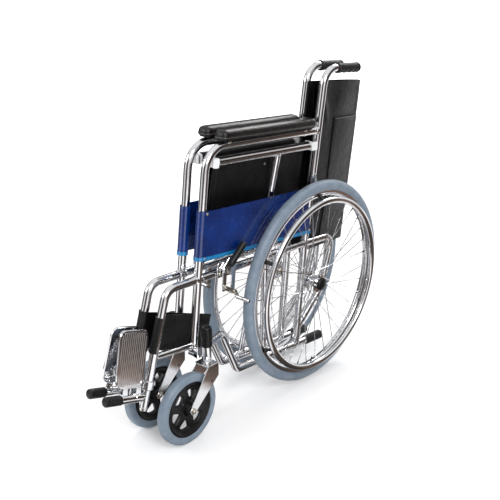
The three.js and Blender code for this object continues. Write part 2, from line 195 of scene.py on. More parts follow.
def chrome_look():
    look = Look("chrome", Metallic=1.0)
    look.colour(look.noise(22, 4), (0.74, 0.75, 0.77), (0.86, 0.86, 0.87))
    look.rough(look.noise(90, 5), 0.05, 0.13)
    look.bump((look.noise(14, 2), 0.0007))
    return look.material


def cast_look():
    look = Look("cast_aluminium", Metallic=0.85)
    look.colour(look.noise(60, 4), (0.36, 0.33, 0.32), (0.5, 0.47, 0.45))
    look.rough(look.noise(300, 4), 0.32, 0.5)
    look.bump((look.noise(900, 3), 0.0002))
    return look.material


def steel_look():
    look = Look("plated_steel", Metallic=1.0)
    look.colour(look.noise(70, 4), (0.58, 0.52, 0.44), (0.72, 0.68, 0.62))
    look.rough(look.noise(200, 4), 0.18, 0.34)
    look.bump((look.noise(500, 3), 0.0001))
    return look.material


def vinyl_look(name, dark, light, rough, coat):
    look = Look(name, Coat_Weight=coat, Coat_Roughness=0.2, Specular_IOR_Level=0.34)
    look.colour(look.noise(26, 5), dark, light)
    look.rough(look.noise(160, 4), *rough)
    look.bump((look.noise(42, 4), 0.0016), (look.cells(620), 0.00035))
    return look.material


def rubber_look():
    look = Look("grey_rubber", Sheen_Weight=0.1)
    look.colour(look.noise(48, 5), (0.165, 0.215, 0.275), (0.225, 0.28, 0.345))
    look.rough(look.noise(220, 4), 0.34, 0.5)
    look.bump((look.noise(700, 4), 0.0003))
    return look.material


def plastic_look(name, dark, light, rough):
    look = Look(name, Specular_IOR_Level=0.36)
    look.colour(look.noise(40, 4), dark, light)
    look.rough(look.noise(180, 3), *rough)
    look.bump((look.noise(1100, 3), 0.00022))
    return look.material


def blue_look(name, dark, light):
    look = Look(name, Coat_Weight=0.9, Coat_Roughness=0.08)
    look.colour(look.noise(9, 3), dark, light, 0.32, 0.68)
    look.rough(look.noise(120, 4), 0.16, 0.3)
    look.bump((look.noise(13, 3), 0.003), (look.noise(260, 3), 0.00012))
    return look.material


CHROME = chrome_look()
CAST = cast_look()
STEEL = steel_look()
VINYL = vinyl_look("black_vinyl", (0.002, 0.002, 0.0022), (0.005, 0.005, 0.0052), (0.3, 0.44), 0.1)
PAD = vinyl_look("pad_vinyl", (0.003, 0.002, 0.002), (0.008, 0.006, 0.005), (0.28, 0.38), 0.2)
THREAD = plastic_look("thread", (0.03, 0.03, 0.032), (0.06, 0.06, 0.065), (0.5, 0.7))
PIPING = vinyl_look("piping", (0.03, 0.028, 0.027), (0.06, 0.055, 0.05), (0.3, 0.4), 0.4)
BLACK = plastic_look("black_plastic", (0.003, 0.003, 0.0035), (0.008, 0.008, 0.009), (0.28, 0.42))
GRIP = plastic_look("grip_rubber", (0.005, 0.005, 0.006), (0.014, 0.014, 0.016), (0.42, 0.56))
TYRE = rubber_look()
NYLON = plastic_look("white_nylon", (0.78, 0.79, 0.8), (0.88, 0.88, 0.89), (0.28, 0.4))
BLUE = blue_look("blue_panel", (0.0006, 0.009, 0.07), (0.001, 0.03, 0.2))
HEM = blue_look("blue_hem", (0.004, 0.13, 0.36), (0.01, 0.24, 0.5))


# ---- shapes


def bent(points, bend, step=7.5):
    """Straight runs whose corners are rounded to a bend radius."""
    points = [Vector(p) for p in points]
    path = [points[0]]
    for before, corner, after in zip(points, points[1:], points[2:]):
        back = (before - corner).normalized()
        ahead = (after - corner).normalized()
        half = back.angle(ahead) / 2
        turn = math.pi - 2 * half
        centre = corner + (back + ahead).normalized() * (bend / math.sin(half))
        spoke = corner + back * (bend / math.tan(half)) - centre
        axis = ahead.cross(back).normalized()
        count = max(2, round(math.degrees(turn) / step))
        for k in range(count + 1):
            path.append(centre + Matrix.Rotation(turn * k / count, 3, axis) @ spoke)
    return path + [points[-1]]


def rounded(outline, radius, steps=5):
    """A flat outline with its corners rounded."""
    outline = [Vector(p) for p in outline]
    made = []
    for i, corner in enumerate(outline):
        back = outline[i - 1] - corner
        ahead = outline[(i + 1) % len(outline)] - corner
        reach = min(radius, 0.45 * back.length, 0.45 * ahead.length)
        start, end = corner + back.normalized() * reach, corner + ahead.normalized() * reach
        for k in range(steps + 1):
            t = k / steps
            made.append((1 - t) ** 2 * start + 2 * t * (1 - t) * corner + t * t * end)
    return made


def inset(outline, depth):
    """The outline moved inwards by depth."""
    area = sum(a.x * b.y - b.x * a.y for a, b in zip(outline, outline[1:] + outline[:1]))
    turn = 1 if area > 0 else -1
    made = []
    for i, p in enumerate(outline):
        along = (outline[(i + 1) % len(outline)] - outline[i - 1]).normalized()
        made.append(p + Vector((-along.y, along.x)) * depth * turn)
    return made


def hull(points):
    """The convex outline round flat points."""
    points = sorted(set(map(tuple, points)))

    def half(run):
        chain = []
        for p in run:
            while len(chain) > 1:
                a, b = chain[-2:]
                if (b[0] - a[0]) * (p[1] - a[1]) - (b[1] - a[1]) * (p[0] - a[0]) > 0:
                    break
                chain.pop()
            chain.append(p)
        return chain[:-1]

    return half(points) + half(points[::-1])


def circle(y, z, radius, count=24):
    turns = [2 * math.pi * i / count for i in range(count)]
    return [(y + radius * math.cos(a), z + radius * math.sin(a)) for a in turns]


class Shape:
    """A mesh in the making, in millimetres."""

    def __init__(self):
        self.bm = bmesh.new()

    def skin(self, rings, look=0, loop=False, caps=True):
        """Faces between closed rings of points. A ring of one point is a tip."""
        made = [[self.bm.verts.new(p) for p in ring] for ring in rings]
        faces = []
        for a, b in zip(made, made[1:] + (made[:1] if loop else [])):
            n = max(len(a), len(b))
            for i in range(n):
                j = (i + 1) % n
                corners = (a[i % len(a)], a[j % len(a)], b[j % len(b)], b[i % len(b)])
                corners = list(dict.fromkeys(corners))
                faces.append(self.bm.faces.new(corners))
        if caps and not loop:
            faces += [self.bm.faces.new(r) for r in (made[0], made[-1]) if len(r) > 2]
        for face in faces:
            face.material_index = look
        return self

    @staticmethod
    def ring(middle, radius, side, other, count):
        """Points round a middle, in the plane of two directions."""
        turns = [2 * math.pi * k / count for k in range(count)]
        return [middle + radius * (math.cos(a) * side + math.sin(a) * other) for a in turns]

    def tube(self, points, radius, bend=0.0, sides=24, look=0, soft=0.8):
        """A round bar whose radius is one number, or one for each point of a straight path."""
        path = bent(points, bend) if bend else [Vector(p) for p in points]
        radii = list(radius) if hasattr(radius, "__len__") else [radius] * len(path)
        if soft:
            for end, inner in ((0, 1), (-1, -2)):
                step = (path[inner] - path[end]).normalized() * soft
                at = 1 if end == 0 else len(path) - 1
                path.insert(at, path[end] + step)
                radii.insert(at, radii[end])
            radii[0], radii[-1] = radii[0] - soft, radii[-1] - soft
        heading = (path[1] - path[0]).normalized()
        side = heading.orthogonal().normalized()
        rings = []
        for i, p in enumerate(path):
            ahead = (path[min(i + 1, len(path) - 1)] - path[max(i - 1, 0)]).normalized()
            side = (heading.rotation_difference(ahead) @ side).normalized()
            heading = ahead
            rings.append(self.ring(p, radii[i], side, heading.cross(side), sides))
        return self.skin(rings, look)

    def turned(self, profile, start=(0, 0, 0), axis=(1, 0, 0), sides=48, look=0, loop=False):
        """Pairs of radius and distance along the axis, turned round it."""
        axis, start = Vector(axis).normalized(), Vector(start)
        side = axis.orthogonal().normalized()
        other = axis.cross(side)
        rings = []
        for r, h in profile:
            rings.append(self.ring(start + axis * h, r, side, other, sides if r > 1e-6 else 1))
        return self.skin(rings, look, loop)

    def plate(self, outline, low, high, corner=0.0, soft=0.7, look=0):
        """A plate from a side view outline of (y, z), between two x values."""
        flat = rounded(outline, corner) if corner else [Vector(p) for p in outline]
        small = inset(flat, soft)
        levels = ((low, small), (low + soft, flat), (high - soft, flat), (high, small))
        return self.skin([[(x, p.x, p.y) for p in line] for x, line in levels], look)

    def block(self, x, y, z, corner=2.0, look=0):
        outline = [(y[0], z[0]), (y[1], z[0]), (y[1], z[1]), (y[0], z[1])]
        return self.plate(outline, *x, corner=corner, look=look)

    def bolt(self, place, axis, radius=5.0, height=3.5, look=0):
        """A domed bolt head on its washer."""
        r, h = radius, height
        profile = [(0, -0.5), (r * 1.5, -0.5), (r * 1.5, 0.7), (r, 1.0), (r, h * 0.6)]
        profile += [(r * 0.8, h * 0.9), (r * 0.35, h), (r * 0.3, h * 0.7), (0, h * 0.7)]
        return self.turned(profile, place, axis, 20, look)

    def weld(self, place, axis, radius, reach=3.0, look=0):
        """The raised bead round the root of a welded tube."""
        r = radius
        profile = [(r, -reach), (r + 1.6, -0.5 * reach), (r + 0.9, 0.4 * reach), (r, reach)]
        return self.turned(profile, place, axis, 24, look)

    def shell(self, centres, thickness, look=0):
        """A thin closed sheet round a grid of points."""
        c = np.array(centres, float)
        across, along = np.gradient(c, axis=0), np.gradient(c, axis=1)
        normal = np.cross(across, along)
        normal /= np.linalg.norm(normal, axis=2)[:, :, None]
        half = np.broadcast_to(np.asarray(thickness, float) / 2, c.shape[:2])[:, :, None]
        layers = []
        for layer in (c + normal * half, c - normal * half):
            layers.append([[self.bm.verts.new(p) for p in row] for row in layer])
        top, bottom = layers
        n, m = c.shape[:2]
        faces = []
        for i in range(n - 1):
            for j in range(m - 1):
                faces.append((top[i][j], top[i + 1][j], top[i + 1][j + 1], top[i][j + 1]))
                near, far = bottom[i], bottom[i + 1]
                faces.append((near[j], near[j + 1], far[j + 1], far[j]))
        rim = [(i, 0) for i in range(n)] + [(n - 1, j) for j in range(1, m)]
        rim += [(i, m - 1) for i in range(n - 2, -1, -1)] + [(0, j) for j in range(m - 2, 0, -1)]
        for (i, j), (u, v) in zip(rim, rim[1:] + rim[:1]):
            faces.append((top[i][j], bottom[i][j], bottom[u][v], top[u][v]))
        for corners in faces:
            self.bm.faces.new(corners).material_index = look
        return self

    def stitches(self, path, look=1, pitch=6.0, length=3.6, radius=0.55):
        """A row of thread along a path."""
        path = [Vector(p) for p in path]
        left = pitch / 2
        for a, b in zip(path, path[1:]):
            run = (b - a).length
            heading = (b - a).normalized()
            while left + length < run:
                start = a + heading * left
                thread = [start, start + heading * length]
                self.tube(thread, radius, sides=5, look=look, soft=0.25)
                left += pitch
            left = max(0.0, left - run)
        return self

    def seams(self, line, away):
        """Thread on both faces of a sheet, at a distance from the middle of the cloth."""
        for x in (away, -away):
            self.stitches([(p[0] + x, p[1], p[2]) for p in line])


def piece(side, name, shape, body, looks, node=None, place=FRAME, angle=40):
    """The finished shape as an object of one side, which rides on a body of that side."""
    name, body = f"{side}_{name}", f"{side}_{body}"
    nodes = [f"{side}_{node}"] if node else []
    bmesh.ops.recalc_face_normals(shape.bm, faces=shape.bm.faces)
    shape.bm.transform((MIRROR if side == "right" else Matrix.Identity(4)) @ place)
    if side == "right":
        bmesh.ops.reverse_faces(shape.bm, faces=shape.bm.faces)
    mesh = bpy.data.meshes.new(name)
    shape.bm.to_mesh(mesh)
    shape.bm.free()
    for look in looks:
        mesh.materials.append(look)
    mesh.polygons.foreach_set("use_smooth", [True] * len(mesh.polygons))
    mesh.set_sharp_from_angle(angle=math.radians(angle))
    made = bpy.data.objects.new(name, mesh)
    bpy.context.scene.collection.objects.link(made)
    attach(made, body)
    if nodes:
        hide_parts(*nodes)
    return made


def cane_y(z):
    """The middle of the cane at a height."""
    rise = max(0.0, (z - KNEE[1]) / (CANE_TOP[1] - KNEE[1]))
    return KNEE[0] + rise * (CANE_TOP[0] - KNEE[0])


def upright_y(z):
    """The middle of the front upright at a height."""
    share = (UPRIGHT_TOP[1] - z) / (UPRIGHT_TOP[1] - UPRIGHT_FOOT[1])
    return UPRIGHT_TOP[0] + share * (UPRIGHT_FOOT[0] - UPRIGHT_TOP[0])


def at_mid(pairs):
    return [(MID, y, z) for y, z in pairs]


# ---- frame tubes


def cane(side):
    shape = Shape()
    top = (161, CANE_TOP[1] - 3)
    shape.tube(at_mid([(CANE_Y, LOWER_Z), KNEE, CANE_TOP, top]), TUBE, 52, 32)
    shape.weld((MID, RAIL_REAR[0] - TUBE, RAIL_REAR[1]), (0, -1, 0), TUBE)
    shape.weld((MID, cane_y(ARM_Z) - TUBE, ARM_Z), (0, -1, 0), TUBE)
    hook = [(MID + 8, -17, 622), (MID + 13, -13, 619), (MID + 14, -8, 606), (MID + 13, -3, 594)]
    shape.tube([*hook, (MID + 8, 1, 592)], 1.7, sides=10)
    shape.bolt((MID + 10.5, -22.8, 765.4), (1, 0, 0), 3.4, 3)
    shape.bolt((MID + 10.5, -20.4, 748.2), (1, 0, 0), 3.4, 3)
    piece(side, "cane_tube", shape, "frame", [CHROME], "cane")

    axle = Shape()
    profile = [(0, MID), (6, MID), (6, 42), (13, 42.6), (13, 51), (12, 52), (7, 52), (7, 56)]
    axle.turned(profile + [(6, 56), (6, 101), (0, 101)], sides=24)
    piece(side, "axle", axle, "frame", [STEEL], place=AXLE)


def push_grip(side):
    """A ridged rubber grip with a collar, finger waves below and a flared end."""
    shape = Shape()
    start, end = Vector((MID, 62, 916.4)), Vector((MID, 166, 914.6))
    length, radius, round_off = 104, 13.2, 2.5
    ridge_pitch, finger_pitch = 5.2, 24
    rings = []
    count, sides = 84, 28
    for i in range(count + 1):
        t = i / count
        mm = t * length
        flare = 1.9 * math.exp(-((mm - 3) / 4) ** 2) + 1.2 * math.exp(-((mm - 101) / 4) ** 2)
        base = radius + flare
        ridge = 0.55 * (0.5 + 0.5 * math.cos(2 * math.pi * mm / ridge_pitch))
        to_end = min(mm, length - mm)
        edge = 1.0
        if to_end < round_off:
            edge = math.sqrt(max(0.0, 1 - (1 - to_end / round_off) ** 2))
        ring = []
        for k in range(sides):
            a = 2 * math.pi * k / sides
            below = max(0.0, -math.sin(a))
            wave = 0
            if 12 < mm < 92:
                wave = 1.3 * below * math.cos(2 * math.pi * (mm - 14) / finger_pitch)
            r = (base + ridge + wave) * (0.72 + 0.28 * edge)
            ring.append(start.lerp(end, t) + Vector((r * math.cos(a), 0, r * math.sin(a))))
        rings.append(ring)
    shape.skin(rings)
    piece(side, "grip", shape, "frame", [GRIP], "push_grip", angle=60)


def front_frame(side):
    shape = Shape()
    shape.tube(at_mid([(cane_y(ARM_Z), ARM_Z), UPRIGHT_TOP, UPRIGHT_FOOT]), TUBE, 66, 32)
    shape.weld((MID, upright_y(400) + TUBE, 399), (0, 1, 0), TUBE)
    shape.weld((MID, upright_y(400) - TUBE, 398.5), (0, -1, 0), TUBE)
    piece(side, "arm_and_upright", shape, "frame", [CHROME], "front_frame")

    rail = Shape().tube(at_mid([RAIL_REAR, RAIL_FRONT]), TUBE, sides=32)
    piece(side, "side_tube", rail, "frame", [CHROME], "side_rail")

    loop = Shape().tube(at_mid(LOOP), TUBE, 34, 32)
    loop.weld((MID, -11, 157.6), (0, 0.71, 0.7), TUBE)
    piece(side, "rear_loop_tube", loop, "frame", [CHROME], "rear_loop")


def along_hanger(distance):
    """A point beyond the hanger's foot, or before it where the distance is negative."""
    return (HANGER_FOOT[0] + DOWN_HANGER.x * distance, HANGER_FOOT[1] + DOWN_HANGER.y * distance)


def hanger(side):
    shape = Shape()
    shape.tube(at_mid([RAIL_FRONT, HANGER_TOP, HANGER_FOOT]), TUBE, 36, 32)
    shape.tube(at_mid([along_hanger(-24), along_hanger(-1)]), 14.5, sides=28, soft=1.5)
    shape.tube(at_mid([(-616, 222.5), (-474, 217)]), 9, sides=24)
    shape.weld((MID, -610, 222.2), (0, 1, 0), 9)
    shape.weld((MID, -484, 217.4), (0, -1, 0), 9)
    low = along_hanger(-12)
    shape.block((MID - 6, MID + 6), (low[0] + 11, low[0] + 21), (low[1] - 7, low[1] + 7))
    shape.bolt((MID + 6, low[0] + 16, low[1]), (1, 0, 0), 3.6, 3.5)
    piece(side, "hanger_tube", shape, "frame", [CHROME], "hanger")


def lower_rail(side):
    shape = Shape()
    corners = [(58, -446, 221), (MID, -366, 219), (MID, -292, LOWER_Z), (MID, 37, LOWER_Z)]
    shape.tube(corners, TUBE, 26, 32)
    shape.weld((MID, -36, LOWER_Z), (0, -1, 0), TUBE)
    piece(side, "lower_tube", shape, "frame", [CHROME], "lower_rail")

    stem = Shape()
    profile = [(0, 211), (12.2, 211), (13, 212), (13, 254.8), (12.2, 255.6), (0, 255.6)]
    stem.turned(profile, axis=(0, 0, 1), sides=40)
    stem.block((-42, -11), (-27, 0), (226, 238), 3)
    stem.block((-21, -9), (-27, 4), (224, 254), 4)
    piece(side, "stem_housing", stem, "frame", [CHROME], place=STEM)

    cap = Shape()
    profile = [(0, 256), (14.6, 256), (15.5, 257)]
    for i in range(8):
        z = 259 + 5.6 * i
        profile += [(15.5, z), (15.5, z + 3.4), (14.5, z + 4.1), (14.5, z + 5)]
    profile += [(14.6, 305), (13.6, 309), (11, 312), (6, 313), (0, 313)]
    cap.turned(profile, axis=(0, 0, 1), sides=40)
    piece(side, "stem_cap", cap, "frame", [BLACK], "caster_cap", place=STEM)

    tip = Shape()
    profile = [(11.2, 0), (13.4, 0.4), (14, 1.5)]
    for i in range(9):
        h = 4 + 7 * i
        profile += [(14, h), (13.2, h + 1), (13.2, h + 2.4), (14, h + 3.4)]
    profile += [(14, 71), (13.2, 73.6), (10.5, 75), (0, 75)]
    tip.turned(profile, (MID, 23, LOWER_Z), (0, 1, 0), 32)
    piece(side, "tip_rubber", tip, "frame", [GRIP], "tip_cap")


# ---- arm pad and guard

PAD_FRONT, PAD_REAR = -417.0, -29.0
PAD_HALF = 21.5
PAD_Z = 760


def arm_pad(side):
    """A crowned foam pad in glossy vinyl, lofted from its rounded plan."""
    shape = Shape()
    levels = [
        (0.0, 3.0), (0.5, 1.0), (2.0, 0.1), (5.0, 0.0), (9.0, 0.15), (13.0, 0.9),
        (16.5, 2.2), (19.2, 4.2), (21.3, 7.0), (22.8, 10.4), (23.7, 14.2), (24.0, 18.2),
    ]
    corners = [(-PAD_HALF, PAD_FRONT), (PAD_HALF, PAD_FRONT), (PAD_HALF, PAD_REAR)]
    plan = rounded([*corners, (-PAD_HALF, PAD_REAR)], 24, 10)
    rings = []
    for height, pull in levels:
        waist = 0.993 if 4 < height < 16 else 1.0
        rings.append([(MID + p.x * waist, p.y, PAD_Z + height) for p in inset(plan, pull)])
    shape.skin(rings)
    made = piece(side, "pad", shape, "frame", [PAD], "arm_pad", angle=75)

    trim = Shape()
    ring = [(MID + p.x, p.y, PAD_Z + 4.6) for p in inset(plan, 0.1)]
    trim.tube(ring + ring[:1], 1.5, sides=8, soft=0)
    seam = [(MID + p.x, p.y, PAD_Z + 8.4) for p in inset(plan, -0.25)]
    trim.stitches(seam + seam[:1], look=1)
    piece(side, "pad_piping", trim, "frame", [PIPING, THREAD])

    base = Shape()
    base.skin([[(MID + p.x, p.y, z) for p in inset(plan, 4)] for z in (PAD_Z - 3.5, PAD_Z + 0.4)])
    for y in (-384, -70):
        base.block((MID - 8, MID + 8), (y - 15, y + 15), (PAD_Z - 18, PAD_Z - 2), 3)
        base.bolt((MID + 8, y, PAD_Z - 10), (1, 0, 0), 4, 3.5, 1)
    piece(side, "pad_base", base, "frame", [BLACK, STEEL])


def guard_edge(share):
    """Heights of the guard's bottom and top edge, front (0) to rear (1)."""
    return 452 - 6 * share, 583 + share


def skirt_guard(side):
    """A glossy panel bent round the front upright, with a raised arch over the tyre."""
    cos, sin = math.cos(LEAN_BACK), math.sin(LEAN_BACK)
    axle_y, axle_z = AXLE_Y * cos - REAR_R * sin, AXLE_Y * sin + REAR_R * cos
    wrap, reach = 0.12, 13.9
    arch_radius = 312
    columns, rows = 90, 26
    centres = []
    for i in range(columns + 1):
        t = i / columns
        column = []
        for j in range(rows + 1):
            v = j / rows
            front = -467.0 + 3 * v
            rear = -18 - 32 * v
            run = max(0.0, (t - wrap) / (1 - wrap))
            low, high = guard_edge(run)
            z = low + (high - low) * v
            if t < wrap:
                a = math.pi * (1.12 - 1.12 * t / wrap)
                x = MID + reach * math.cos(a)
                y = front - reach * math.sin(a)
            else:
                y = front + (rear - front) * run
                x = MID + reach + 1.9 * min(1.0, run * 12)
            arch = math.hypot(y - axle_y, z - axle_z) - arch_radius
            if t > 0.16:
                x += 1.7 * math.exp(-((arch / 5) ** 2))
                x += 0.8 * math.sin(math.pi * min(1, (t - 0.16) / 0.84)) * math.sin(math.pi * v)
            column.append((x, y, z))
        centres.append(column)
    shape = Shape().shell(centres, 1.7)
    hem = []
    for column in centres:
        hem.append([(x + 0.6, y, z) if y > -470 else (x, y - 0.6, z) for x, y, z in column[:3]])
    shape.shell(hem, 2.6, look=1)
    for y, z in ((upright_y(576), 576), (upright_y(458), 458), (-58, 574), (-30, 456)):
        shape.bolt((MID + (14.4 if y < -400 else 16.6), y + 4, z), (1, 0, 0), 3.2, 2.6, 2)
    line = [column[2] for column in centres[12:]]
    shape.stitches([(x + 1.2, y, z + 4) for x, y, z in line], look=3)
    looks = [BLUE, HEM, STEEL, THREAD]
    piece(side, "guard", shape, "frame", looks, "skirt_guard", angle=55)


# ---- footrest


def footrest(side):
    stem = Shape()
    stem.tube([(0, 0, 18.6), (0, 0, -37)], 9.5, sides=28)
    stem.tube([(0, 0, 0), (0, -92, 0)], 7, sides=24)
    stem.turned([(9.6, -3), (11, -1.5), (11, 1.5), (9.6, 3)], (0, 0, -30), (0, 0, 1), 28)
    stem.bolt((0, 9.2, -12), (0, 1, 0), 3.4, 3)
    piece(side, "foot_tube", stem, "foot_support", [CHROME], "footrest_tube", place=PIVOT)

    cap = Shape()
    profile = [(0, -2), (12, -2), (13, -1)]
    for i in range(6):
        h = 3 + 6 * i
        profile += [(13, h), (12.3, h + 1), (12.3, h + 2.2), (13, h + 3.2)]
    profile += [(13, 44), (12.2, 46.6), (9.5, 48), (0, 48)]
    cap.turned(profile, (0, -90, 0), (0, -1, 0), 32)
    piece(side, "foot_cap", cap, "foot_support", [BLACK], place=PIVOT)


def footplate(side):
    """A cast plate with a polished raised border, a ribbed tread and its hinge barrel."""
    shape = Shape()
    outline = [(-17, 27), (-17, 176), (-118, 176), (-107, 27)]
    flat = rounded(outline, 26, 8)
    inner = inset(flat, 7.5)
    border = (
        (-2.0, inset(flat, 1.2)), (-4.0, inset(flat, 2.4)), (-4.0, inset(flat, 0.4)),
        (-3.0, flat), (2.6, flat), (4.0, inset(flat, 1.3)), (4.0, inset(flat, 5.8)),
        (2.0, inner),
    )
    shape.skin([[(x, p.x, p.y) for p in line] for x, line in border], look=1)
    shape.skin([[(x, p.x, p.y) for p in inner] for x in (-1.6, 1.2)])
    for i in range(14):
        y = -24.6 - 6.6 * i
        edge = max(0.0, (-y - 100) / 11)
        lower = 36.5 + 30 * edge
        upper = (167.5 if -110 < y < -26 else 158) - 24 * edge * edge
        rib = [(y - 1.5, lower), (y + 1.5, lower), (y + 1.5, upper), (y - 1.5, upper)]
        shape.plate(rib, 0.8, 2.5, corner=1.4)
    for y0, y1 in ((-40, -20), (-86, -66)):
        shape.plate([(y0, 4), (y1, 4), (y1 - 3, 34), (y0 + 3, 34)], -3.6, 3.6, 3, 1.0, look=1)
    barrel = [(7.6, 16), (11, 16), (12, 17), (12, 40), (11.2, 41)]
    barrel += [(11.2, 65), (12, 66), (12, 88), (11, 89), (7.6, 89)]
    shape.turned(barrel, axis=(0, -1, 0), sides=32, look=1)
    turned_in = PIVOT @ Matrix.Rotation(math.radians(-5.5), 4, "Y")
    looks = [CAST, CHROME]
    piece(side, "foot_plate", shape, "foot_support", looks, "footplate", turned_in, 35)


# ---- cross brace


def brace(side, top_y, foot_y, bolted):
    """A leg of the cross brace with its seat rail and lower sleeve."""
    shape = Shape()
    shape.tube([(MID, -420, SEAT_Z), (MID, -38.5, SEAT_Z)], TUBE, sides=32)
    shape.tube([(MID, top_y, SEAT_Z), (-MID, foot_y, LEG_FOOT_Z)], LEG_TUBE, sides=28)
    shape.weld((MID - 1.2, top_y - 0.6, SEAT_Z - 12), (0, 0, -1), LEG_TUBE)
    profile = [(11.3, -26), (14, -26), (15, -25), (15, 25), (14, 26), (11.3, 26)]
    shape.turned(profile, (-MID, foot_y, LOWER_Z), (0, 1, 0), 32)
    plug = [(0, 0), (9.4, 0), (9.4, 5.0), (8, 6.2), (0, 6.2)]
    for y, away in ((-414, -1), (-44.5, 1)):
        shape.turned(plug, (MID, y, SEAT_Z), (0, away, 0), 24, 1)
    if bolted:
        middle = (0, (top_y + foot_y) / 2, (SEAT_Z + LOWER_Z) / 2)
        bolt = [(0, -15), (7, -15), (8, -14), (8, -10), (5, -9)]
        bolt += [(5, 38), (8, 38), (8, 43), (7, 44), (0, 44)]
        shape.turned(bolt, middle, (0, 1, 0), 24, 2)
    piece(side, "brace_tubes", shape, "cross_brace", [CHROME, BLACK, STEEL], "brace")


def seat_guides(side):
    shape = Shape()
    shape.block((MID - 12.4, MID + 12), (-436, -422), (689, 715), 4)
    for x in (MID - 12.4, MID + 10.2):
        shape.block((x, x + 2.2), (-444, -430), (690, 714), 5)
    piece(side, "guide_front", shape, "seat_guides", [NYLON], "seat_guide_front")
    rear = Shape()
    rear.block((14.4, 43.6), (-38.1, -30.4), (690.4, 715.6), 3)
    rear.block((42.2, 43.8), (-38, -14), (691, 715), 4)
    piece(side, "guide_rear", rear, "seat_guides", [NYLON], "seat_guide_rear")


# ---- upholstery


def relax(x, low, high, free, rounds):
    """Smooths a sheet's offsets like a membrane, kept between its obstacles."""
    for _ in range(rounds):
        pad = np.pad(x, 1, mode="edge")
        near = (pad[2:, 1:-1] + pad[:-2, 1:-1] + pad[1:-1, 2:] + pad[1:-1, :-2]) / 4
        x = np.where(free, np.clip(near, low, high), x)
    return x


def creases(a, b, seed, size):
    """Soft folds over a sheet, the same on each run."""
    made = np.zeros_like(a)
    for k in range(5):
        turn = seed * 1.7 + k * 2.1
        wave = (a * math.cos(turn) + b * math.sin(turn)) * (0.012 + 0.006 * k)
        made += np.sin(wave + seed + k * 1.3) / (k + 1.5)
    return made * size


def around(radius, start, end, count):
    """Pairs of distances from a tube's middle, for cloth that turns round the tube."""
    turns = [math.radians(turn) for turn in np.linspace(start, end, count)]
    return [(radius * math.cos(a), radius * math.sin(a)) for a in turns]


SEAT_DEPTH = 222.0
SEAT_WRAP = 13.4
CLOTH_GAP = 1.1


def leg_at(x, leg, depth):
    """The middle of a leg that starts at x, at a depth below the seat rails."""
    share = depth / (SEAT_Z - LEG_FOOT_Z)
    top_y, foot_y = leg
    return x - share * 2 * x, top_y + share * (foot_y - top_y)


def seat_half(side):
    """Half of the seat sling: over its rail and down to the fold in the middle."""
    ys = np.linspace(-416, -44.5, 76)
    depths = np.linspace(0, SEAT_DEPTH, 48)
    d, y = np.meshgrid(depths, ys, indexing="ij")
    straight = np.maximum(16.4 - 0.0949 * d, 1.2)
    legs = (LEFT_LEG, RIGHT_LEG) if side == "left" else (RIGHT_LEG, LEFT_LEG)
    reach = LEG_TUBE + CLOTH_GAP
    flanks = []
    for x, leg in zip((MID, -MID), legs):
        leg_x, leg_y = leg_at(x, leg, d)
        bulge = np.sqrt(np.maximum(0, reach**2 - (y - leg_y) ** 2))
        flanks.append((np.abs(y - leg_y) < reach, leg_x, bulge))
    (near_own, own_x, own_bulge), (near_other, other_x, other_bulge) = flanks
    low = np.where(near_other, other_x + other_bulge + 1.7, -1.4)
    high = np.maximum(np.where(near_own, own_x - own_bulge, 60.0), low + 0.2)
    start = np.clip(straight + creases(y, d, 2, 2.6) * np.minimum(1, d / 40), low, high)
    x = relax(start, low, high, d > 30, 6)
    sheet = np.stack([x, y, SEAT_Z - d], axis=-1)
    arc = around(SEAT_WRAP, 66, 172, 10)
    wrap = [[(MID + across, v, SEAT_Z + up) for v in ys] for across, up in arc]
    grid = np.concatenate([wrap, sheet])
    hem = np.full(grid.shape[:2], 1.5)
    hem[:, :4] = hem[:, -4:] = 2.6
    shape = Shape().shell(grid, hem)
    for row in (3, -4):
        shape.seams(sheet[2:, row], 1.1)
    shape.seams(sheet[-3], 1.0)
    i = int(np.argmin(np.abs(ys + 210)))
    shape.bolt((sheet[7][i][0] + 0.8, ys[i], SEAT_Z - depths[7]), (1, 0, 0), 2.8, 2.2, 2)
    looks = [VINYL, THREAD, STEEL]
    made = piece(side, "seat_sling", shape, "seat", looks, "seat_panel", angle=60)


BACK_LOW, BACK_HIGH = 381.0, 876.0
BACK_WRAP = 12.6
BACK_DEPTH = 224.0
POCKET_HIGH, POCKET_START = 767, 96


def back_reach(z):
    """From the cane to the fold in the middle, a little less near the top."""
    t = np.clip((z - 640) / (BACK_HIGH - 640), 0, 1)
    return BACK_DEPTH - 4 * t * t


def back_sheet(z_low, z_high, start, rows, columns):
    """The back sling as a grid, from the inner side of the cane to the rear."""
    shares, heights = np.linspace(0, 1, columns), np.linspace(z_low, z_high, rows)
    t, z = np.meshgrid(shares, heights, indexing="ij")
    d = start + (back_reach(z) - start) * t
    rise = np.maximum(0.0, (z - KNEE[1]) / (CANE_TOP[1] - KNEE[1]))
    y = KNEE[0] + rise * (CANE_TOP[0] - KNEE[0]) + d
    free = np.sin(np.pi * np.clip(d / BACK_DEPTH, 0, 1)) ** 0.8 * np.clip((z - 432) / 70, 0, 1)
    folds = creases(d, z * 0.6, 5, 1.5) + creases(d * 2.2, z * 0.35, 11, 0.8)
    pull = np.exp(-(((d - 0.42 * (BACK_HIGH - z) - 12) / 9) ** 2)) * np.clip((z - 740) / 60, 0, 1)
    swell = 4.5 * np.exp(-(((z - 820) / 45) ** 2)) * np.exp(-(((d - 130) / 55) ** 2))
    x = MID - BACK_WRAP - 0.0688 * d + free * (2.5 + folds) + swell + 3.2 * pull
    sag = 5.0 * (d / BACK_DEPTH) ** 2 * np.clip((z - 700) / (BACK_HIGH - 700), 0, 1)
    return np.stack([x, y, z - sag], axis=-1), d


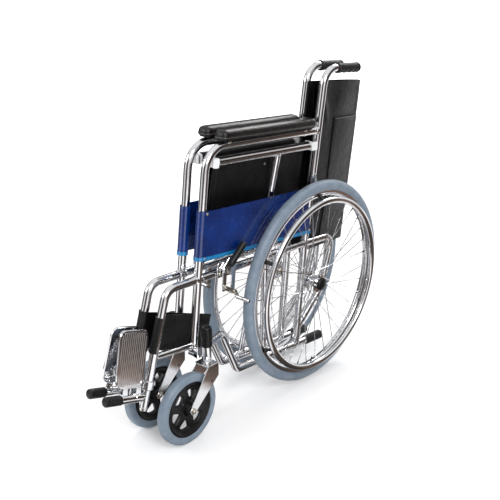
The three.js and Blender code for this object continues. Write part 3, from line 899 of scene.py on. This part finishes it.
def back_half(side):
    """Half of the back sling: round the inside of the cane, then folded to the rear."""
    sheet, _ = back_sheet(BACK_LOW, BACK_HIGH, 2.0, 72, 52)
    arc = around(BACK_WRAP, 222, 184, 6)
    heights = sheet[0, :, 2]
    wrap = [[(MID + across, cane_y(z) + along, z) for z in heights] for across, along in arc]
    grid = np.concatenate([wrap, sheet])
    hem = np.full(grid.shape[:2], 1.6)
    hem[:, :3] = hem[:, -3:] = hem[-3:] = 2.6
    shape = Shape().shell(grid, hem)
    for row in (3, -4):
        shape.seams(grid[8:, row], 1.2)
    for column in (11, -4):
        shape.seams(grid[column], 1.1)
    looks = [VINYL, THREAD]
    made = piece(side, "back_sling", shape, "back", looks, "back_panel", angle=60)

    pocket, d = back_sheet(BACK_LOW + 4, POCKET_HIGH, POCKET_START, 54, 30)
    share = np.clip((d - POCKET_START) / (BACK_DEPTH - POCKET_START), 0, 1)
    loose = 1.8 * np.clip((pocket[..., 2] - 600) / 160, 0, 1) * np.sin(np.pi * share)
    pocket[..., 0] += 2.4 + loose
    shape = Shape().shell(pocket, 1.3)
    shape.tube([Vector(p) for p in pocket[:, -1]], 1.7, sides=8, look=2)
    for line in (pocket[2], pocket[-3], pocket[:, -3]):
        shape.stitches([tuple(p + (0.9, 0, 0)) for p in line])
    looks.append(PIPING)
    made = piece(side, "back_pocket", shape, "back", looks, angle=60)


CALF_LOW, CALF_HIGH = 97, 190
CALF_WRAP = 13.4


def calf_half(side):
    """Half of the calf strap: a loop on the hanger, folded to the rear."""
    heights = np.linspace(CALF_LOW, CALF_HIGH, 26)
    depths = np.linspace(2, 223, 50)
    d, h = np.meshgrid(depths, heights, indexing="ij")
    straight = np.maximum(-CALF_WRAP - 0.0935 * d, 1.2 - MID)
    x = straight + creases(d, h, 7, 0.9) * np.minimum(1, d / 60) * np.clip((219 - d) / 60, 0, 1)
    sag = 13 * (d / 219) ** 1.5
    share = (CALF_HIGH - h) / (CALF_HIGH - CALF_LOW)
    sheet = np.stack([x, d, h - sag * (0.6 + 0.4 * share)], axis=-1)
    arc = around(CALF_WRAP, 20, 176, 14)
    wrap = [[(across, -along, v) for v in heights] for across, along in arc]
    grid = np.concatenate([wrap, sheet])
    hem = np.full(grid.shape[:2], 1.6)
    hem[:, :2] = hem[:, -2:] = 2.8
    shape = Shape().shell(grid, hem)
    for row in (2, -3):
        shape.seams(grid[16:, row], 1.2)
    shape.seams(grid[22], 1.1)
    looks = [VINYL, THREAD]
    made = piece(side, "calf_band", shape, "calf_rest", looks, "calf_strap", HANGER, 60)


# ---- brake


def brake(side):
    bracket = Shape()
    outline = [(-410, 392), (-354, 392), (-354, 336), (-338, 336), (-338, 418)]
    bracket.plate(outline + [(-366, 434), (-410, 434)], 41.5, 45.2, 5)
    for y in (-400, -366):
        bracket.bolt((45.2, y, 401), (1, 0, 0), 3.6, 2.2, 1)
    piece(side, "brake_mount", bracket, "frame", [CHROME, STEEL], "brake_bracket")

    lever = Shape()
    outline = [(-393, 352), (-380, 352), (-379, 404), (-360, 436), (-372, 447), (-396, 418)]
    lever.plate(outline, 47.8, 51, 4, look=1)
    pin = [(0, 45.6), (5, 45.6), (5, 51), (7, 51), (7, 54), (5.5, 55), (0, 55)]
    lever.turned(pin, (0, -388, 412), sides=24, look=1)
    lever.tube([(49, -371, 434), (56, -369, 438), (60, -366, 440)], 5, sides=16)
    path = [(60, -382, 424), (60, -372, 434), (60, -350, 456), (60, -327, 479)]
    lever.tube(path, [8.2, 9.4, 8.8, 9.5], sides=24, soft=2.5)
    ring = [(9.0, -1), (9.6, -0.4), (9.6, 0.4), (9.0, 1)]
    for i in range(6):
        y = -362 + 5.4 * i
        lever.turned(ring, (60, y, y + 806), (0, 0.7071, 0.7071), 24)
    looks = [BLACK, CHROME]
    piece(side, "brake_grip", lever, "brake_handle", looks, "brake_lever")

    arm = Shape()
    outline = [(-391, 358), (-347, 336), (-337, 318), (-326, 322), (-339, 347), (-388, 371)]
    arm.plate(outline, 51.6, 54.8, 4, look=1)
    pin = [(0, 45.6), (4, 45.6), (4, 55), (6.5, 55), (6.5, 57.5), (5, 58.5), (0, 58.5)]
    arm.turned(pin, (0, -347, 343), sides=20, look=1)
    arm.bolt((54.8, -386, 364), (1, 0, 0), 3.4, 2.6, 1)
    shoe = (-331.1, 323.3)
    arm.tube([(52, *shoe), (93, *shoe)], 5, sides=24)
    ring = [(4.8, -1), (5.3, -0.5), (5.3, 0.5), (4.8, 1)]
    for i in range(9):
        arm.turned(ring, (62 + 3.6 * i, *shoe), sides=24)
    piece(side, "brake_bar", arm, "brake_arm", [CHROME, STEEL], "brake_shoe")


# ---- wheels


def rear_wheel(side):
    body = "rear_wheel"
    tyre_r = 16.0
    profile = []
    for k in range(60):
        a = 2 * math.pi * k / 60
        r = tyre_r
        across = math.degrees(math.atan2(math.sin(a), math.cos(a)))
        for groove in (-34, -12, 12, 34):
            r -= 0.9 * math.exp(-(((across - groove) / 2.6) ** 2))
        r += 0.35 * math.exp(-(((abs(across) - 82) / 5) ** 2))
        across_r = min(r, tyre_r)
        profile.append((REAR_R - tyre_r + across_r * math.cos(a), WHEEL_X + r * math.sin(a)))
    tyre = Shape().turned(profile, sides=160, loop=True)
    piece(side, "tyre", tyre, body, [TYRE], "rear_tyre", place=AXLE, angle=70)

    ring = [(-5, 260), (-8.6, 262.2), (-10.6, 266), (-11, 271), (-11, 276), (-10, 277.4), (-9, 276)]
    profile = [(r, WHEEL_X + x) for x, r in ring] + [(r, WHEEL_X - x) for x, r in ring[::-1]]
    rim = Shape().turned(profile, sides=160, loop=True)
    rim.tube([(WHEEL_X + 2, 0, -262), (WHEEL_X + 4, 0, -247)], 2.4, sides=12, look=1)
    piece(side, "rim", rim, body, [CHROME, BLACK], "rear_rim", place=AXLE, angle=35)

    hub = Shape()
    profile = [(6.5, 54), (15, 54), (16, 55), (16, 58), (27, 58), (27.6, 59.5), (27, 61), (17, 63)]
    profile += [(14, 68), (14, 84), (17, 89), (27, 91), (27.6, 92.5), (27, 94)]
    profile += [(17, 94), (17, 99), (16, 100), (6.5, 100)]
    hub.turned(profile, sides=48)
    spokes = 36
    for i in range(spokes):
        rim_turn = 2 * math.pi * (i + 0.5) / spokes
        forward = i % 4 < 2
        hub_turn = rim_turn + math.radians(58 if forward else -58)
        x = (59.5 if i % 2 == 0 else 92.5) + (2.5 if forward else -2.5)
        start = Vector((x, 23 * math.cos(hub_turn), 23 * math.sin(hub_turn)))
        end = Vector((WHEEL_X, 261 * math.cos(rim_turn), 261 * math.sin(rim_turn)))
        hub.tube([start, end], 1.1, sides=8, soft=0)
        hub.tube([end.lerp(start, 0.055), end], 2.1, sides=8, soft=0.4)
    piece(side, "hub_and_spokes", hub, body, [CHROME], "rear_hub", place=AXLE)

    cap = Shape()
    profile = [(0, 101.4), (18.6, 101.4), (20, 102.6), (20, 105), (18.6, 108.4), (16, 110.4), (13.4, 111)]
    profile += [(13, 110.2), (12.2, 110.2), (11.8, 111.4), (9, 113), (4, 113.5), (0, 113.5)]
    cap.turned(profile, sides=48)
    piece(side, "axle_cap", cap, body, [BLACK], "hub_cap", place=AXLE)

    push = Shape().turned(circle(253, HANDRIM_X, 9.5), sides=160, loop=True)
    for i in range(6):
        a = math.radians(30.5 + 60 * i)
        out = Vector((0, math.cos(a), math.sin(a)))
        start, end = out * 268 + Vector((86.4, 0, 0)), out * 256 + Vector((103, 0, 0))
        spacer = [start.lerp(end, share) for share in (0, 0.12, 0.3, 1)]
        push.tube(spacer, [7, 6.4, 5, 5.6], sides=20, look=1, soft=0.6)
    piece(side, "push_rim", push, body, [CHROME, BLACK], "handrim", place=AXLE, angle=50)


def caster_fork(side):
    shape = Shape()
    axle_y = CASTER_Y - STEM_Y
    crown = [(y, z) for half, z in ((22, 170), (22, 200), (18, 208)) for y in (-half, half)]
    outline = hull(circle(axle_y, CASTER_R, 11) + crown)
    for x in (-24, 20.2):
        shape.plate(outline, x, x + 3.8, soft=1.0)
    shape.block((-23, 23), (-21, 21), (203.6, 208.4), 4)
    profile = [(0, 206), (14, 206), (14, 209.5), (12.4, 211.4), (0, 211.4)]
    shape.turned(profile, axis=(0, 0, 1), sides=36)
    for x, way in ((24, 1), (-24, -1)):
        shape.bolt((x, axle_y, CASTER_R), (way, 0, 0), 6.6, 5.6, 1)
        hole = [(0, -0.4), (3, -0.4), (3, 0.35), (0, 0.35)]
        shape.turned(hole, (x, -5, 163), (way, 0, 0), 16, 2)
    shape.tube([(-24, axle_y, CASTER_R), (24, axle_y, CASTER_R)], 4.6, sides=20)
    looks = [CHROME, STEEL, BLACK]
    piece(side, "fork", shape, "caster_swivel", looks, "caster_fork", STEM)


def caster_web(shape):
    """The disc between rim and hub, with six rounded windows."""
    window = rounded([(30, -3.6), (53, -19.5), (60, 0), (53, 19.5), (30, 3.6)], 7, 5)
    lip = inset(window, -1.6)
    middle = Vector((48, 0))
    inner, outer = 17.0, 65.0
    half, recess = 5.6, 4.0
    count = 6
    for i in range(count):
        border = []
        for p in window:
            ray = (p - middle).normalized()
            reach = 1.0
            while reach < 60:
                q = middle + ray * reach
                if not inner <= q.length <= outer or abs(math.atan2(q.y, q.x)) > math.pi / count:
                    break
                reach += 0.25
            border.append(q)
        near = [(half, border), (half, lip), (recess, window)]
        loops = near + [(-x, line) for x, line in near[::-1]]
        turn = Matrix.Rotation(math.radians(360 / count * i + 12), 3, "X")
        shape.skin([[turn @ Vector((x, p.x, p.y)) for p in line] for x, line in loops], caps=False)


def caster_wheel(side):
    body = "caster_wheel"
    profile = []
    for k in range(40):
        a = 2 * math.pi * k / 40
        c, t = math.cos(a), math.sin(a)
        r = 87.5 + 12.5 * math.copysign(abs(c) ** 0.8, c)
        profile.append((r, 14 * math.copysign(abs(t) ** 0.62, t)))
    tyre = Shape().turned(profile, sides=120, loop=True)
    piece(side, "caster_rubber", tyre, body, [TYRE], "caster_tyre", place=CASTER, angle=70)

    hub = Shape()
    rim = [(-12.6, 76.5), (-12.6, 73), (-11.4, 71.4), (-6.2, 65), (-5.6, 62.5)]
    profile = [(r, x) for x, r in rim] + [(r, -x) for x, r in rim[::-1]]
    hub.turned(profile, sides=96, loop=True)
    end = [(5.4, 18), (15, 18), (16, 17), (17.4, 9), (19, 6)]
    hub.turned([(r, -x) for r, x in end] + end[::-1], sides=48)
    caster_web(hub)
    piece(side, "caster_centre", hub, body, [BLACK], "caster_hub", place=CASTER, angle=35)


# ---- studio


DARK = (0.035, 0.025, 0.02)
BROWN = (0.16, 0.1, 0.075)
LIGHT = (0.95, 0.95, 0.96)
# Sectors round the studio: in the world they are its light, on the floor they are painted reflections for
# the chrome.
STREAKS = (
    (0.0, LIGHT), (0.05, DARK), (0.13, DARK), (0.16, LIGHT), (0.23, LIGHT), (0.26, BROWN),
    (0.3, DARK), (0.35, DARK), (0.38, LIGHT), (0.46, LIGHT), (0.49, BROWN), (0.54, DARK),
    (0.64, DARK), (0.67, BROWN), (0.7, LIGHT), (0.78, LIGHT), (0.81, DARK), (0.88, DARK),
    (0.91, LIGHT), (1.0, LIGHT), (1.0, DARK),
)


def streaks(tree, way):
    """Light and dark sectors round the studio, and how high a direction points. On the floor these
    sectors are painted reflections.
    """
    nodes, links = tree.nodes, tree.links
    split = nodes.new("ShaderNodeSeparateXYZ")
    links.new(way, split.inputs[0])
    turn = nodes.new("ShaderNodeMath")
    turn.operation = "ARCTAN2"
    links.new(split.outputs[1], turn.inputs[0])
    links.new(split.outputs[0], turn.inputs[1])
    share = nodes.new("ShaderNodeMapRange")
    links.new(turn.outputs[0], share.inputs["Value"])
    share.inputs["From Min"].default_value = -math.pi
    share.inputs["From Max"].default_value = math.pi
    ramp = nodes.new("ShaderNodeValToRGB")
    first, *between, last = STREAKS
    stops = ramp.color_ramp.elements
    for stop, (_, shade) in zip(stops, (first, last)):
        stop.color = (*shade, 1)
    for place, shade in between:
        stops.new(place).color = (*shade, 1)
    links.new(share.outputs[0], ramp.inputs[0])
    return ramp.outputs[0], split.outputs[2]


def blend_colours(tree, share, first, second):
    mix = tree.nodes.new("ShaderNodeMix")
    mix.data_type = "RGBA"
    for socket, value in zip((mix.inputs[0], mix.inputs[6], mix.inputs[7]), (share, first, second)):
        if isinstance(value, bpy.types.NodeSocket):
            tree.links.new(value, socket)
        else:
            socket.default_value = value
    return mix.outputs[2]


def world():
    """Plain white to the eye, with dark sectors near the horizon for the chrome."""
    made = bpy.data.worlds.new("studio")
    made.use_nodes = True
    bpy.context.scene.world = made
    tree = made.node_tree
    nodes, links = tree.nodes, tree.links
    nodes.clear()
    colour, up = streaks(tree, nodes.new("ShaderNodeTexCoord").outputs["Generated"])
    height = nodes.new("ShaderNodeMapRange")
    links.new(up, height.inputs["Value"])
    height.inputs["From Min"].default_value = 0.3
    height.inputs["From Max"].default_value = 0.75
    mixed = blend_colours(tree, height.outputs[0], colour, (*LIGHT, 1))
    studio_light, plain = nodes.new("ShaderNodeBackground"), nodes.new("ShaderNodeBackground")
    links.new(mixed, studio_light.inputs[0])
    studio_light.inputs[1].default_value = 0.95
    plain.inputs[0].default_value = (1, 1, 1, 1)
    choose = nodes.new("ShaderNodeMixShader")
    links.new(nodes.new("ShaderNodeLightPath").outputs["Is Camera Ray"], choose.inputs[0])
    links.new(studio_light.outputs[0], choose.inputs[1])
    links.new(plain.outputs[0], choose.inputs[2])
    links.new(choose.outputs[0], nodes.new("ShaderNodeOutputWorld").inputs[0])


def softbox(name, place, target, size, power):
    data = bpy.data.lights.new(name, "AREA")
    data.shape = "RECTANGLE"
    data.size, data.size_y = size
    data.energy = power
    made = bpy.data.objects.new(name, data)
    made.location = place
    made.rotation_mode = "QUATERNION"
    made.rotation_quaternion = (Vector(target) - Vector(place)).to_track_quat("-Z", "Y")
    bpy.context.scene.collection.objects.link(made)


def floor_look():
    """Pale and plain, fading to white far off, and painted with dark and brown reflection streaks that
    only glossy rays see, so the chrome mirrors them.
    """
    look = Look("floor", Emission_Color=(1, 1, 1, 1))
    tree = look.tree
    look.colour(look.noise(0.7, 2), (0.9, 0.9, 0.9), (0.93, 0.93, 0.93))
    look.rough(look.noise(3, 2), 0.8, 0.9)
    pale = look.shader.inputs["Base Color"].links[0].from_socket
    # Painted reflection: glossy rays see these dark and brown streaks in place of the pale floor colour,
    # standing in for a dark studio mirrored in the chrome.
    colour, _ = streaks(tree, look.place)
    path = tree.nodes.new("ShaderNodeLightPath")
    painted_reflection = blend_colours(tree, path.outputs["Is Glossy Ray"], pale, colour)
    tree.links.new(painted_reflection, look.shader.inputs["Base Color"])
    reach = look.node("ShaderNodeVectorMath", Vector=look.place)
    reach.operation = "LENGTH"
    far = look.spread(reach.outputs["Value"], 0.12, 1.0, 0.9, 5.0)
    both = tree.nodes.new("ShaderNodeMath")
    both.operation = "MULTIPLY"
    tree.links.new(far, both.inputs[0])
    tree.links.new(path.outputs["Is Camera Ray"], both.inputs[1])
    tree.links.new(both.outputs[0], look.shader.inputs["Emission Strength"])
    return look


def studio():
    world()
    softbox("key", (3.2, -2.0, 3.4), (0, 0, 0.4), (1.8, 1.8), 110)
    softbox("fill", (-2.6, -3.2, 2.6), (0, 0, 0.4), (2.2, 1.6), 50)
    softbox("back", (-1.0, 3.6, 3.0), (0, 0, 0.5), (2.4, 1.2), 70)
    look = floor_look()
    mesh = bpy.data.meshes.new("floor")
    bm = bmesh.new()
    bmesh.ops.create_grid(bm, x_segments=4, y_segments=4, size=40)
    bm.to_mesh(mesh)
    bm.free()
    mesh.materials.append(look.material)
    floor = bpy.data.objects.new("floor", mesh)
    bpy.context.scene.collection.objects.link(floor)
    bpy.context.scene.view_settings.view_transform = "Standard"


# ---- assembly

aim_camera()
for side in SIDES:
    for make in (
        cane, push_grip, front_frame, hanger, lower_rail, arm_pad, skirt_guard, footrest,
        footplate, seat_guides, seat_half, back_half, calf_half, brake, rear_wheel,
        caster_fork, caster_wheel,
    ):
        make(side)
brace("left", *LEFT_LEG, bolted=True)
brace("right", *RIGHT_LEG, bolted=False)
studio()
